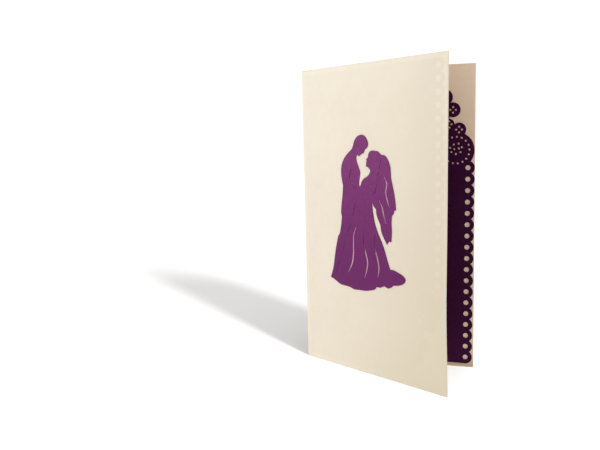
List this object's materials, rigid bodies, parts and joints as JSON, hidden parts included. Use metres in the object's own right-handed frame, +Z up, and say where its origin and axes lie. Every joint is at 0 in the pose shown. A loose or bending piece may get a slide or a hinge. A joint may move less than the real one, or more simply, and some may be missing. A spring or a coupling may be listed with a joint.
{
  "type": "folded wedding card",
  "caption": "Tall folded card standing half open, with a cut-paper couple on the front page and a lace-edged cut-paper liner inside each page.",
  "frame": {"origin": "centre of the bounding box at the card's bottom edges, on the surface it stands on", "axes": "+Z up along the fold; +X from the fold towards the free edges, half way between the pages; the front page, with the couple, is on the -Y side"},
  "size_m": [0.1022, 0.0484, 0.18],
  "materials": {
    "cream_card": "satin",
    "purple_card": "satin",
    "aubergine_card": "satin"
  },
  "bodies": {
    "root": {"card_cover": "cream_card", "couple_silhouette": "purple_card", "back_lace_liner": "aubergine_card", "front_lace_liner": "aubergine_card"}
  },
  "joints": []
}
